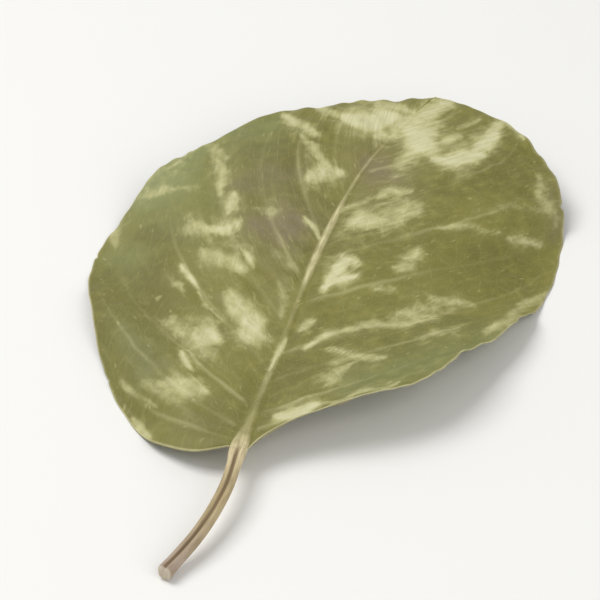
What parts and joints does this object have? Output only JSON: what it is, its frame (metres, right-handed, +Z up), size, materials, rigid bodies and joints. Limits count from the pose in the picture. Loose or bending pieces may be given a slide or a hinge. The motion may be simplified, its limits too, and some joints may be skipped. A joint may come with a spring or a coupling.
{
  "type": "dried avocado leaf",
  "caption": "Dried broad oval leaf with a gently curled blade, a midrib with slanting side veins, and a curved channelled stalk; it lies face up.",
  "frame": {"origin": "on the surface that the leaf rests on, under the middle of the whole leaf's bounding box", "axes": "+Z up from the leaf's upper face, +Y from the stalk towards the tip, +X to the right seen from above with the tip away"},
  "size_m": [0.0857, 0.1462, 0.0112],
  "materials": {
    "leaf": "dry olive-green leaf, satin"
  },
  "bodies": {
    "root": {"leaf": "leaf"}
  },
  "joints": []
}
